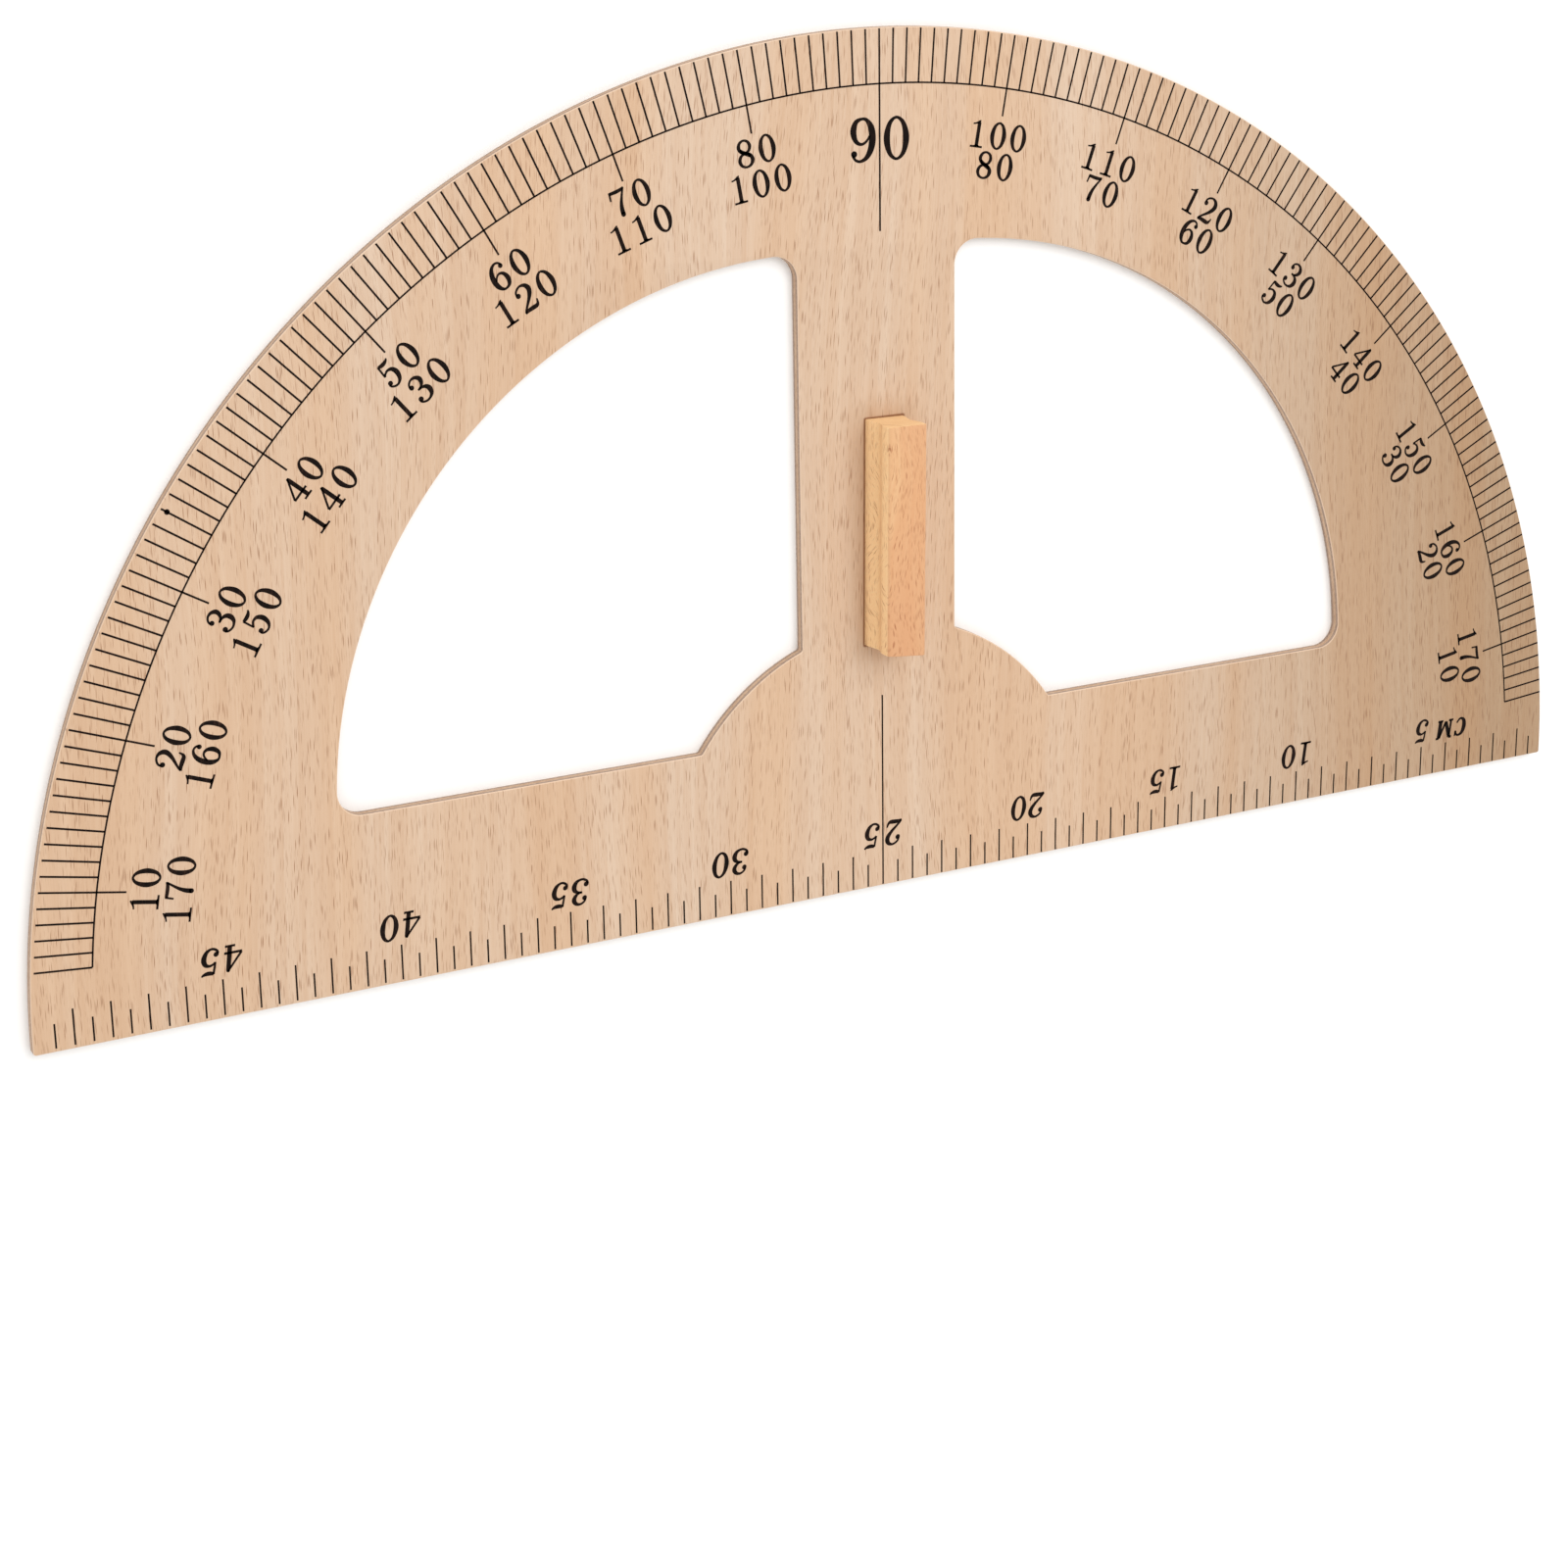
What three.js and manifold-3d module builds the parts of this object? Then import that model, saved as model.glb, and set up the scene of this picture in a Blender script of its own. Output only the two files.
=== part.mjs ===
// Blackboard protractor: a half disc of three-ply beech with two windows,
// a grooved beech grip on its front and two countersunk screws that hold the grip from behind.
//
// Millimetres, +Z up. The board lies flat with its back face on z = 0 and the grip on top.
// The origin is the protractor's centre point, half-way along the straight edge;
// +X runs along that edge towards the 0 cm end and +Y towards the 90 degree mark.

import * as THREE from 'three';
import { mergeVertices } from 'three/addons/utils/BufferGeometryUtils.js';
import Module from 'manifold-3d';

const wasm = await Module();
wasm.setup();

// Board
const BOARD_RADIUS = 250.5;        // half the length of the straight edge
const PLY_THICKNESS = 1.2;         // one of three plies
const PLY_COUNT = 3;
const BOARD_THICKNESS = PLY_THICKNESS * PLY_COUNT;
const EDGE_EASE = 0.4;             // sanded chamfer on the front and back arrises

// Windows: a quarter disc on each side of the central bar, less the hub
const BAR_HALF_WIDTH = 25.1;       // central bar that carries the grip
const WINDOW_FLOOR = 50.2;         // height of the rule strip under the windows
const WINDOW_RADIUS = 140;         // centred where the bar meets the rule strip
const WINDOW_CORNER_RADIUS = 7;    // router radius in the two outer corners
const HUB_RADIUS = 69.3;           // round shoulder between the bar and the rule strip
const HUB_CENTRE_Y = 11.5;

// Grip
const GRIP_LENGTH = 66.5;
const GRIP_CENTRE_X = 1.5;         // glued on a little to the right of the centre line
const GRIP_CENTRE_Y = 108.3;
const GRIP_TURN = THREE.MathUtils.degToRad(-0.7); // and very slightly askew
const GRIP_HEIGHT = 14.2;          // stands this far off the board
const GRIP_FOOT_HALF_WIDTH = 6.1;
const GRIP_GROOVE_HALF_WIDTH = 5.3; // waist of the finger grooves
const GRIP_GROOVE_HEIGHT = 5.4;
const GRIP_CREST_HALF_WIDTH = 6.2; // widest place, above the grooves
const GRIP_CREST_HEIGHT = 10.2;
const GRIP_EDGE_RADIUS = 1.1;      // rounding of the front edges

// Countersunk wood screws, 3 mm by 12 mm
const SCREW_SPACING = 40;
const SCREW_RADIUS = 1.5;          // plain shank and thread crests
const SCREW_CORE_RADIUS = 1.05;    // thread roots
const SCREW_LENGTH = 12;
const SCREW_HEAD_RADIUS = 3;
const SCREW_HEAD_RIM = 0.2;        // cylindrical rim of the head
const SCREW_SHANK_LENGTH = 4;      // head and plain shank, up to the first thread
const SCREW_THREAD_PITCH = 1.35;
const SCREW_THREADS = 5;
const SCREW_POINT_LENGTH = 1.25;
const SCREW_SINK = 0.1;            // the head sits this far below the back face
const SCREW_GAP = 0.05;            // clearance between the screw and the wood around it
const RECESS_SLOT_LENGTH = 3.2;    // cross recess in the head
const RECESS_SLOT_WIDTH = 0.8;
const RECESS_DEPTH = 1.1;

const CHORD_ERROR = 0.04;          // largest distance between a facet and the true arc
const ROUND_SEGMENTS = 32;         // facets round a screw or its hole
const OVERRUN = 1;                 // how far a cutting body runs past what it cuts

// ---------------------------------------------------------------- helpers

// Points along an arc from one angle to another, both ends included.
function arcPoints(centreX, centreY, radius, fromAngle, toAngle) {
  const step = 2 * Math.acos(1 - CHORD_ERROR / radius);
  const count = Math.ceil(Math.abs(toAngle - fromAngle) / step);
  const points = [];
  for (let i = 0; i <= count; i++) {
    const angle = fromAngle + (toAngle - fromAngle) * i / count;
    points.push(new THREE.Vector2(
      centreX + radius * Math.cos(angle),
      centreY + radius * Math.sin(angle),
    ));
  }
  return points;
}

function toSolid(geometry) {
  const bare = geometry.clone();
  bare.deleteAttribute('normal');
  bare.deleteAttribute('uv');
  const merged = mergeVertices(bare, 1e-5);
  return new wasm.Manifold(new wasm.Mesh({
    numProp: 3,
    vertProperties: new Float32Array(merged.attributes.position.array),
    triVerts: new Uint32Array(merged.index.array),
  }));
}

function toGeometry(solid) {
  const mesh = solid.getMesh();
  const geometry = new THREE.BufferGeometry();
  geometry.setAttribute('position', new THREE.BufferAttribute(mesh.vertProperties, 3));
  geometry.setIndex(new THREE.BufferAttribute(mesh.triVerts, 1));
  geometry.computeVertexNormals();
  return geometry;
}

// A body of revolution about +Z, from [radius, z] pairs that start and end on the axis.
function turned(profile) {
  const points = profile.map(([radius, z]) => new THREE.Vector2(radius, z));
  return new THREE.LatheGeometry(points, ROUND_SEGMENTS).rotateX(Math.PI / 2);
}

// ---------------------------------------------------------------- board

// The right-hand window. The left-hand one is its mirror image.
function windowOutline() {
  const arcX = BAR_HALF_WIDTH;
  const arcY = WINDOW_FLOOR;
  const cornerOffset = Math.sqrt(
    (WINDOW_RADIUS - WINDOW_CORNER_RADIUS) ** 2 - WINDOW_CORNER_RADIUS ** 2,
  );
  const tangentAngle = Math.atan2(WINDOW_CORNER_RADIUS, cornerOffset);
  const hubFromAngle = Math.acos(BAR_HALF_WIDTH / HUB_RADIUS);
  const hubToAngle = Math.asin((WINDOW_FLOOR - HUB_CENTRE_Y) / HUB_RADIUS);
  return [
    ...arcPoints(arcX + cornerOffset, arcY + WINDOW_CORNER_RADIUS, WINDOW_CORNER_RADIUS,
      -Math.PI / 2, tangentAngle),
    ...arcPoints(arcX, arcY, WINDOW_RADIUS, tangentAngle, Math.PI / 2 - tangentAngle).slice(1),
    ...arcPoints(arcX + WINDOW_CORNER_RADIUS, arcY + cornerOffset, WINDOW_CORNER_RADIUS,
      Math.PI / 2 - tangentAngle, Math.PI).slice(1),
    ...arcPoints(0, HUB_CENTRE_Y, HUB_RADIUS, hubFromAngle, hubToAngle),
  ];
}

function boardShape() {
  const shape = new THREE.Shape(arcPoints(0, 0, BOARD_RADIUS, 0, Math.PI));
  const outline = windowOutline();
  shape.holes.push(new THREE.Path(outline));
  shape.holes.push(new THREE.Path(outline.map((p) => new THREE.Vector2(-p.x, p.y))));
  return shape;
}

// A slab with both arrises chamfered, from z = low to z = high.
function easedSlab(shape, low, high) {
  const geometry = new THREE.ExtrudeGeometry(shape, {
    depth: high - low - 2 * EDGE_EASE,
    bevelEnabled: true,
    bevelThickness: EDGE_EASE,
    bevelSize: EDGE_EASE,
    bevelOffset: -EDGE_EASE,
    bevelSegments: 1,
  });
  return toSolid(geometry.translate(0, 0, low + EDGE_EASE));
}

function layerBetween(low, high) {
  const size = 2 * (BOARD_RADIUS + OVERRUN);
  const box = new THREE.BoxGeometry(size, size, high - low);
  return toSolid(box.translate(0, 0, (low + high) / 2));
}

// Hole for one screw through the board and into the grip.
function screwBore(y) {
  const sink = SCREW_SINK;
  const headRadius = SCREW_HEAD_RADIUS + SCREW_GAP;
  const boreRadius = SCREW_RADIUS + SCREW_GAP;
  const coneEnd = sink + SCREW_HEAD_RIM + SCREW_HEAD_RADIUS - SCREW_RADIUS;
  return toSolid(turned([
    [0, -OVERRUN],
    [headRadius, -OVERRUN],
    [headRadius, sink + SCREW_HEAD_RIM],
    [boreRadius, coneEnd],
    [boreRadius, sink + SCREW_LENGTH],
    [0, sink + SCREW_LENGTH + SCREW_GAP],
  ]).translate(GRIP_CENTRE_X, y, 0));
}

// ---------------------------------------------------------------- grip and screws

// Section across the grip, drawn with x across and y up from the board.
function gripSection() {
  const side = [
    new THREE.Vector2(GRIP_FOOT_HALF_WIDTH, 0),
    new THREE.Vector2(GRIP_FOOT_HALF_WIDTH - 0.1, GRIP_GROOVE_HEIGHT / 3),
    new THREE.Vector2(GRIP_GROOVE_HALF_WIDTH, GRIP_GROOVE_HEIGHT),
    new THREE.Vector2(GRIP_CREST_HALF_WIDTH, GRIP_CREST_HEIGHT),
    new THREE.Vector2(GRIP_CREST_HALF_WIDTH, GRIP_HEIGHT - GRIP_EDGE_RADIUS),
  ];
  const sidePoints = new THREE.SplineCurve(side).getPoints(20);
  const edgeX = GRIP_CREST_HALF_WIDTH - GRIP_EDGE_RADIUS;
  const edgeY = GRIP_HEIGHT - GRIP_EDGE_RADIUS;
  const right = [
    ...sidePoints,
    ...arcPoints(edgeX, edgeY, GRIP_EDGE_RADIUS, 0, Math.PI / 2).slice(1),
  ];
  const left = right.map((p) => new THREE.Vector2(-p.x, p.y)).reverse();
  return new THREE.Shape([...right, ...left]);
}

function gripBlock() {
  const geometry = new THREE.ExtrudeGeometry(gripSection(), {
    depth: GRIP_LENGTH,
    bevelEnabled: false,
  });
  geometry.translate(0, 0, -GRIP_LENGTH / 2);
  geometry.rotateX(Math.PI / 2);
  geometry.rotateZ(GRIP_TURN);
  geometry.translate(GRIP_CENTRE_X, GRIP_CENTRE_Y, BOARD_THICKNESS);
  return toSolid(geometry);
}

// One screw standing head down, its head at z = 0 and its point up.
function screwSolid() {
  const coneEnd = SCREW_HEAD_RIM + SCREW_HEAD_RADIUS - SCREW_RADIUS;
  const profile = [
    [0, 0],
    [SCREW_HEAD_RADIUS, 0],
    [SCREW_HEAD_RADIUS, SCREW_HEAD_RIM],
    [SCREW_RADIUS, coneEnd],
    [SCREW_RADIUS, SCREW_SHANK_LENGTH],
  ];
  for (let i = 0; i < SCREW_THREADS; i++) {
    const z = SCREW_SHANK_LENGTH + i * SCREW_THREAD_PITCH;
    profile.push([SCREW_CORE_RADIUS, z + SCREW_THREAD_PITCH / 2]);
    profile.push([SCREW_RADIUS, z + SCREW_THREAD_PITCH]);
  }
  profile.push([SCREW_CORE_RADIUS / 2, SCREW_LENGTH - SCREW_POINT_LENGTH / 4]);
  profile.push([0, SCREW_LENGTH]);
  const slot = new THREE.BoxGeometry(RECESS_SLOT_LENGTH, RECESS_SLOT_WIDTH, 2 * RECESS_DEPTH);
  const crossSlot = slot.clone().rotateZ(Math.PI / 2);
  return toSolid(turned(profile)).subtract(toSolid(slot)).subtract(toSolid(crossSlot));
}

// ---------------------------------------------------------------- assembly

const beechFace = new THREE.MeshStandardMaterial({ color: 0xe2c3a2, roughness: 0.62, metalness: 0 });
const beechCore = new THREE.MeshStandardMaterial({ color: 0xcda883, roughness: 0.75, metalness: 0 });
const beechGrip = new THREE.MeshStandardMaterial({ color: 0xe8b488, roughness: 0.55, metalness: 0 });
const zincSteel = new THREE.MeshStandardMaterial({ color: 0xb9b7ae, roughness: 0.35, metalness: 1 });

function namedMesh(name, solid, material) {
  const mesh = new THREE.Mesh(toGeometry(solid), material);
  mesh.name = name;
  return mesh;
}

const protractor = new THREE.Group();
protractor.name = 'protractor';

const screwPlaces = [-1, 1].map((side) => GRIP_CENTRE_Y + side * SCREW_SPACING / 2);
const screwBores = screwPlaces.map(screwBore);
const withScrewHoles = (solid) => screwBores.reduce((body, bore) => body.subtract(bore), solid);

const board = easedSlab(boardShape(), 0, BOARD_THICKNESS);
const plies = [['back_ply', beechFace], ['core_ply', beechCore], ['front_ply', beechFace]];
plies.forEach(([name, material], layer) => {
  const low = layer * PLY_THICKNESS;
  const ply = board.intersect(layerBetween(low, low + PLY_THICKNESS));
  protractor.add(namedMesh(name, withScrewHoles(ply), material));
});

protractor.add(namedMesh('grip', withScrewHoles(gripBlock()), beechGrip));

const screwNames = ['screw_lower', 'screw_upper'];
screwNames.forEach((name, i) => {
  const screw = namedMesh(name, screwSolid(), zincSteel);
  screw.position.set(GRIP_CENTRE_X, screwPlaces[i], SCREW_SINK);
  protractor.add(screw);
});

export default protractor;
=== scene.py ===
"""Blackboard protractor: the finished look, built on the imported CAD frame.

The board is rebuilt ply by ply with eased edges, the grip is swept from its section, and the
rule, the degree scale and the numerals are thin bodies of ink on the front face.
Lengths in the tables are millimetres; MM turns them into metres.
"""

import math

import bmesh
import bpy
from mathutils import Matrix, Vector
from mathutils.geometry import tessellate_polygon


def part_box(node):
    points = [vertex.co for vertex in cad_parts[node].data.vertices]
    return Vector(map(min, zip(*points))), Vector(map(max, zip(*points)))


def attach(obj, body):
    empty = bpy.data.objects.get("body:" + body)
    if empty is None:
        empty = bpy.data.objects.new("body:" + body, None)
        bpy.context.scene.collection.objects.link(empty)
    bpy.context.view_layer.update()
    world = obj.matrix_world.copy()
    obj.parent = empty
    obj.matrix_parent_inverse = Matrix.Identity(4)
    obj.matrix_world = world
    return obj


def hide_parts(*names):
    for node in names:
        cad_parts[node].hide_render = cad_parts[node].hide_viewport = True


MM = 0.001
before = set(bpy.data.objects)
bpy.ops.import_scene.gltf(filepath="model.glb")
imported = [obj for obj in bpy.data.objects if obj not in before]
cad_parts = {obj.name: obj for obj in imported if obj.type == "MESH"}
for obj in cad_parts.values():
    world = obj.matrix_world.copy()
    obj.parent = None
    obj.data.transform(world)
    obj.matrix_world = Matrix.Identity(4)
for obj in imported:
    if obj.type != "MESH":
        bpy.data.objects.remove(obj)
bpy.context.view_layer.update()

# ---------------------------------------------------------------- sizes, in millimetres

BACK_LOW, BACK_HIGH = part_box("back_ply")
FRONT_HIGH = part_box("front_ply")[1]
GRIP_LOW, GRIP_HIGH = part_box("grip")
BOARD_RADIUS = BACK_HIGH[0] / MM
PLY = (BACK_HIGH[2] - BACK_LOW[2]) / MM
BOARD_TOP = FRONT_HIGH[2] / MM
ROOT = "root"

EDGE_EASE = 0.45            # rounding of the front and back arrises
TIP_RADIUS = 0.8            # the two sharp ends of the straight edge, seen from the front
BAR_HALF_WIDTH = 25.1
WINDOW_FLOOR = 50.2
WINDOW_RADIUS = 140.0
WINDOW_CORNER_RADIUS = 7.0
HUB_RADIUS = 69.3
HUB_CENTRE_Y = 11.5
JUNCTION_RADIUS = 1.0       # left by the router where the hub meets the bar and the floor

GRIP_CENTRE = ((GRIP_LOW[0] + GRIP_HIGH[0]) / 2 / MM, (GRIP_LOW[1] + GRIP_HIGH[1]) / 2 / MM)
GRIP_HEIGHT = (GRIP_HIGH[2] - FRONT_HIGH[2]) / MM
GRIP_LENGTH = 66.5
GRIP_TURN = math.radians(-0.7)
GRIP_FOOT_HALF_WIDTH = 6.1
GRIP_GROOVE_HALF_WIDTH = 5.0  # the groove is a little deeper and higher up than the CAD's
GRIP_GROOVE_HEIGHT = 6.2
GRIP_CREST_HALF_WIDTH = 6.2
GRIP_CREST_HEIGHT = 10.2
GRIP_EDGE_RADIUS = 1.1
GRIP_END_ROUND = 0.3        # easing of the sawn ends
GRIP_END_SKEW = 0.088       # the lower end is sawn off square by this much for each mm of X

SCREW_BORE = (3.05, 1.55)   # mouth and shank radius of the screw holes
SCREW_CONE = (0.3, 1.8)     # heights between which the countersink narrows

# Segments in each round stretch
BOARD_STEPS = 300
WINDOW_STEPS = 120
HUB_STEPS = 40
CORNER_STEPS = 20
TIP_STEPS = 6
BORE_STEPS = 36

# ---------------------------------------------------------------- outlines


def arc(cx, cy, radius, start, end, count):
    """Points along an arc in count equal steps, both ends included."""
    angles = (start + (end - start) * i / count for i in range(count + 1))
    return [(cx + radius * math.cos(a), cy + radius * math.sin(a)) for a in angles]


def board_outline(inset):
    """The half disc, drawn in by inset, with its two tips rounded."""
    tip_x = math.sqrt((BOARD_RADIUS - TIP_RADIUS) ** 2 - TIP_RADIUS ** 2)
    tangent = math.atan2(TIP_RADIUS, tip_x)
    small = TIP_RADIUS - inset
    return (arc(tip_x, TIP_RADIUS, small, -math.pi / 2, tangent, TIP_STEPS)
            + arc(0, 0, BOARD_RADIUS - inset, tangent, math.pi - tangent, BOARD_STEPS)[1:]
            + arc(-tip_x, TIP_RADIUS, small, math.pi - tangent, math.pi * 1.5, TIP_STEPS)[1:])


def window_outline(inset, side):
    """One window, grown by inset; side is 1 for the right-hand one and -1 for the left."""
    offset = math.sqrt((WINDOW_RADIUS - WINDOW_CORNER_RADIUS) ** 2 - WINDOW_CORNER_RADIUS ** 2)
    tangent = math.atan2(WINDOW_CORNER_RADIUS, offset)
    corner = WINDOW_CORNER_RADIUS + inset
    junction = JUNCTION_RADIUS + inset
    hub = HUB_RADIUS - inset
    upper_x = BAR_HALF_WIDTH + JUNCTION_RADIUS
    lower_y = WINDOW_FLOOR + JUNCTION_RADIUS
    hub_start = math.acos(upper_x / (hub + junction))
    hub_end = math.asin((lower_y - HUB_CENTRE_Y) / (hub + junction))
    upper_y = HUB_CENTRE_Y + (hub + junction) * math.sin(hub_start)
    lower_x = (hub + junction) * math.cos(hub_end)
    points = (
        arc(BAR_HALF_WIDTH + offset, WINDOW_FLOOR + WINDOW_CORNER_RADIUS, corner,
            -math.pi / 2, tangent, CORNER_STEPS)
        + arc(BAR_HALF_WIDTH, WINDOW_FLOOR, WINDOW_RADIUS + inset,
              tangent, math.pi / 2 - tangent, WINDOW_STEPS)[1:]
        + arc(BAR_HALF_WIDTH + WINDOW_CORNER_RADIUS, WINDOW_FLOOR + offset, corner,
              math.pi / 2 - tangent, math.pi, CORNER_STEPS)[1:]
        + arc(upper_x, upper_y, junction, math.pi, math.pi + hub_start, TIP_STEPS)
        + arc(0, HUB_CENTRE_Y, hub, hub_start, hub_end, HUB_STEPS)[1:]
        + arc(lower_x, lower_y, junction, math.pi + hub_end, math.pi * 1.5, TIP_STEPS)[1:])
    return [(side * x, y) for x, y in points]


def bore_radius(height):
    """Radius of a screw hole at that height above the back face."""
    mouth, shank = SCREW_BORE
    cone_low, cone_high = SCREW_CONE
    t = min(max((height - cone_low) / (cone_high - cone_low), 0), 1)
    return mouth + (shank - mouth) * t


def screw_places():
    """Centre of each screw, from the CAD, in millimetres."""
    centres = []
    for name in ("screw_lower", "screw_upper"):
        low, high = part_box(name)
        centres.append(((low[0] + high[0]) / 2 / MM, (low[1] + high[1]) / 2 / MM))
    return centres


# ---------------------------------------------------------------- mesh helpers


def new_object(name, vertices, faces, smooth_angle=30):
    """A mesh object from millimetre vertices, shaded smooth below the given angle."""
    mesh = bpy.data.meshes.new(name)
    mesh.from_pydata([tuple(c * MM for c in v) for v in vertices], [], faces)
    mesh.validate()
    mesh.shade_smooth()
    mesh.set_sharp_from_angle(angle=math.radians(smooth_angle))
    obj = bpy.data.objects.new(name, mesh)
    bpy.context.scene.collection.objects.link(obj)
    return obj


def outward(obj):
    """Turns every face outwards."""
    work = bmesh.new()
    work.from_mesh(obj.data)
    bmesh.ops.recalc_face_normals(work, faces=work.faces)
    work.to_mesh(obj.data)
    work.free()
    return obj


def ply(name, levels):
    """One sheet of the board from (height, inset) levels, with the windows and screw holes."""
    vertices = []
    faces = []
    rings = []
    for height, inset in levels:
        loops = [board_outline(inset), window_outline(inset, 1), window_outline(inset, -1)]
        for x, y in screw_places():
            loops.append(arc(x, y, bore_radius(height), 0, math.tau, BORE_STEPS)[:-1])
        ring = []
        for loop in loops:
            ring.append(list(range(len(vertices), len(vertices) + len(loop))))
            vertices += [(x, y, height) for x, y in loop]
        rings.append(ring)
    for low, high in zip(rings, rings[1:]):
        for a, b in zip(low, high):
            count = len(a)
            for i in range(count):
                j = (i + 1) % count
                faces.append((a[i], a[j], b[j], b[i]))
    for ring in (rings[0], rings[-1]):
        flat = [index for loop in ring for index in loop]
        polygons = [[Vector(vertices[i]) for i in loop] for loop in ring]
        faces += [tuple(flat[k] for k in corner) for corner in tessellate_polygon(polygons)]
    return outward(new_object(name, vertices, faces))


def eased(low, high, ease_low, ease_high, steps=4):
    """Levels of a sheet whose lower or upper arris may be rounded."""
    levels = []
    turns = [math.pi / 2 * i / steps for i in range(steps + 1)]
    if ease_low:
        levels += [(low + EDGE_EASE * (1 - math.sin(a)), EDGE_EASE * (1 - math.cos(a)))
                   for a in reversed(turns)]
    else:
        levels.append((low, 0))
    if ease_high:
        levels += [(high - EDGE_EASE * (1 - math.sin(a)), EDGE_EASE * (1 - math.cos(a)))
                   for a in turns]
    else:
        levels.append((high, 0))
    return levels


def spline(nodes, closed=False, steps=8):
    """Catmull-Rom curve through nodes of any dimension."""
    if len(nodes) == 2:
        return list(nodes)
    last = len(nodes) - 1
    points = []
    for i in range(last):
        before = nodes[(i - 1) % last] if closed else nodes[max(i - 1, 0)]
        after = nodes[(i + 2) % last] if closed else nodes[min(i + 2, last)]
        for k in range(steps):
            t = k / steps
            points.append(tuple(
                0.5 * (2 * b + (c - a) * t + (2 * a - 5 * b + 4 * c - d) * t ** 2
                       + (3 * b - a - 3 * c + d) * t ** 3)
                for a, b, c, d in zip(before, nodes[i], nodes[i + 1], after)))
    points.append(tuple(nodes[last]))
    return points


# ---------------------------------------------------------------- grip


def grip_section():
    """Half widths and heights up the right-hand side of the grip."""
    side = spline([
        (GRIP_FOOT_HALF_WIDTH, 0),
        (GRIP_FOOT_HALF_WIDTH - 0.1, GRIP_GROOVE_HEIGHT / 3),
        (GRIP_GROOVE_HALF_WIDTH, GRIP_GROOVE_HEIGHT),
        (GRIP_CREST_HALF_WIDTH, GRIP_CREST_HEIGHT),
        (GRIP_CREST_HALF_WIDTH, GRIP_HEIGHT - GRIP_EDGE_RADIUS),
    ])
    edge = arc(GRIP_CREST_HALF_WIDTH - GRIP_EDGE_RADIUS, GRIP_HEIGHT - GRIP_EDGE_RADIUS,
               GRIP_EDGE_RADIUS, 0, math.pi / 2, 6)
    right = side + edge[1:]
    return right + [(-x, z) for x, z in reversed(right)]


def build_grip():
    """The grip, swept along Y, with rounded ends, the lower one sawn off square."""
    section = grip_section()
    centre_x, centre_y = GRIP_CENTRE
    steps = 4
    half = GRIP_LENGTH / 2
    turns = [math.pi / 2 * i / steps for i in range(steps + 1)]
    rounding = [(GRIP_END_ROUND * (1 - math.sin(a)), GRIP_END_ROUND * (1 - math.cos(a)))
                for a in turns]
    stations = [(-half + along, inset) for along, inset in reversed(rounding)]
    stations += [(half - along, inset) for along, inset in rounding]
    turn = Matrix.Rotation(GRIP_TURN, 2)
    vertices = []
    for y, inset in stations:
        skew = GRIP_END_SKEW if y < 0 else 0
        narrow = 1 - inset / GRIP_CREST_HALF_WIDTH
        low = 1 - inset / GRIP_HEIGHT
        for x, z in section:
            spot = turn @ Vector((x * narrow, y - skew * (x + GRIP_CREST_HALF_WIDTH)))
            vertices.append((centre_x + spot.x, centre_y + spot.y, BOARD_TOP + z * low))
    count = len(section)
    faces = []
    for ring in range(len(stations) - 1):
        for i in range(count):
            j = (i + 1) % count
            a, b = ring * count, (ring + 1) * count
            faces.append((a + i, a + j, b + j, b + i))
    faces.append(tuple(range(count)))
    faces.append(tuple(range((len(stations) - 1) * count, len(stations) * count)))
    return outward(new_object("grip_block", vertices, faces))


# ---------------------------------------------------------------- print

INK_HEIGHT = 0.03           # ink stands this far proud of the wood
PRINT_SHIFT = (0.475, 0.385)  # the print isn't quite centred on the board
PRINT_TURN = math.radians(-0.155)
ARC_RADIUS = 234.86         # inner line of the degree scale
ARC_LINE = 0.48
TICK_REACH = 250.0          # the degree ticks run out to here
DEGREE_LINE = 0.54
TENTH_LENGTH = 7.8          # how far every tenth tick runs on inside the arc
FIRST_DEGREE = 5
LAST_DEGREE = 175
CENTRE_LINE_LENGTH = 58.75
RIGHT_ANGLE_LINE_END = 194.2
RULE_HALF = 250
CM_TICK = 10.25
HALF_CM_TICK = 6.9
RULE_LINE = 0.48
RULE_BASELINE = 19.45       # the rule's numerals stand upside down on this line
RULE_SHIFT = 0.1
RULE_SLANT = 0.13
RULE_ADVANCE = 6.2          # from one numeral to the next
RULE_MIDDLE_ADVANCE = 7.3   # wider at 25, where the centre line passes between the two
UNIT_X = 212.5
UNIT_BASELINE = 17.9
UNIT_ADVANCE = 6.3
DIGIT_HEIGHT = 7.7
DEGREE_ADVANCE = 6.75
# Baseline radius of each row, and how far its labels sit past their tick, for each half.
OUTER_ROW = {"left": (218.3, 0.5), "right": (217.6, -0.4)}
INNER_ROW = {"left": (209.3, 0.3), "right": (209.1, 0.0)}
RIGHT_ANGLE_HEIGHT = 12.25
RIGHT_ANGLE_BASELINE = 213.55
RIGHT_ANGLE_ADVANCE = 10.6
MARGIN = 0.3                # ink stops this far short of the board's edges

# Numerals are drawn with a pen: a stroke is a list of (x, y, half width) about the numeral's
# centre line, with y from the baseline, and a closed stroke ends where it starts.
DIAGONAL = 0.7071
DIAGONAL_PEN = 0.48
PEN_GAIN = 0.11             # the ink spreads this much beyond each side of the drawn stroke
RULE_PEN_GAIN = 0.15        # the rule's numerals are printed a little heavier
RIGHT_ANGLE_PEN_GAIN = 0.05
UNIT_PEN_GAIN = 0.2
BLOT = (146, 248.2, 0.75)   # a spot of stray ink: angle, distance from the centre, radius
SERIF = 0.18


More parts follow.
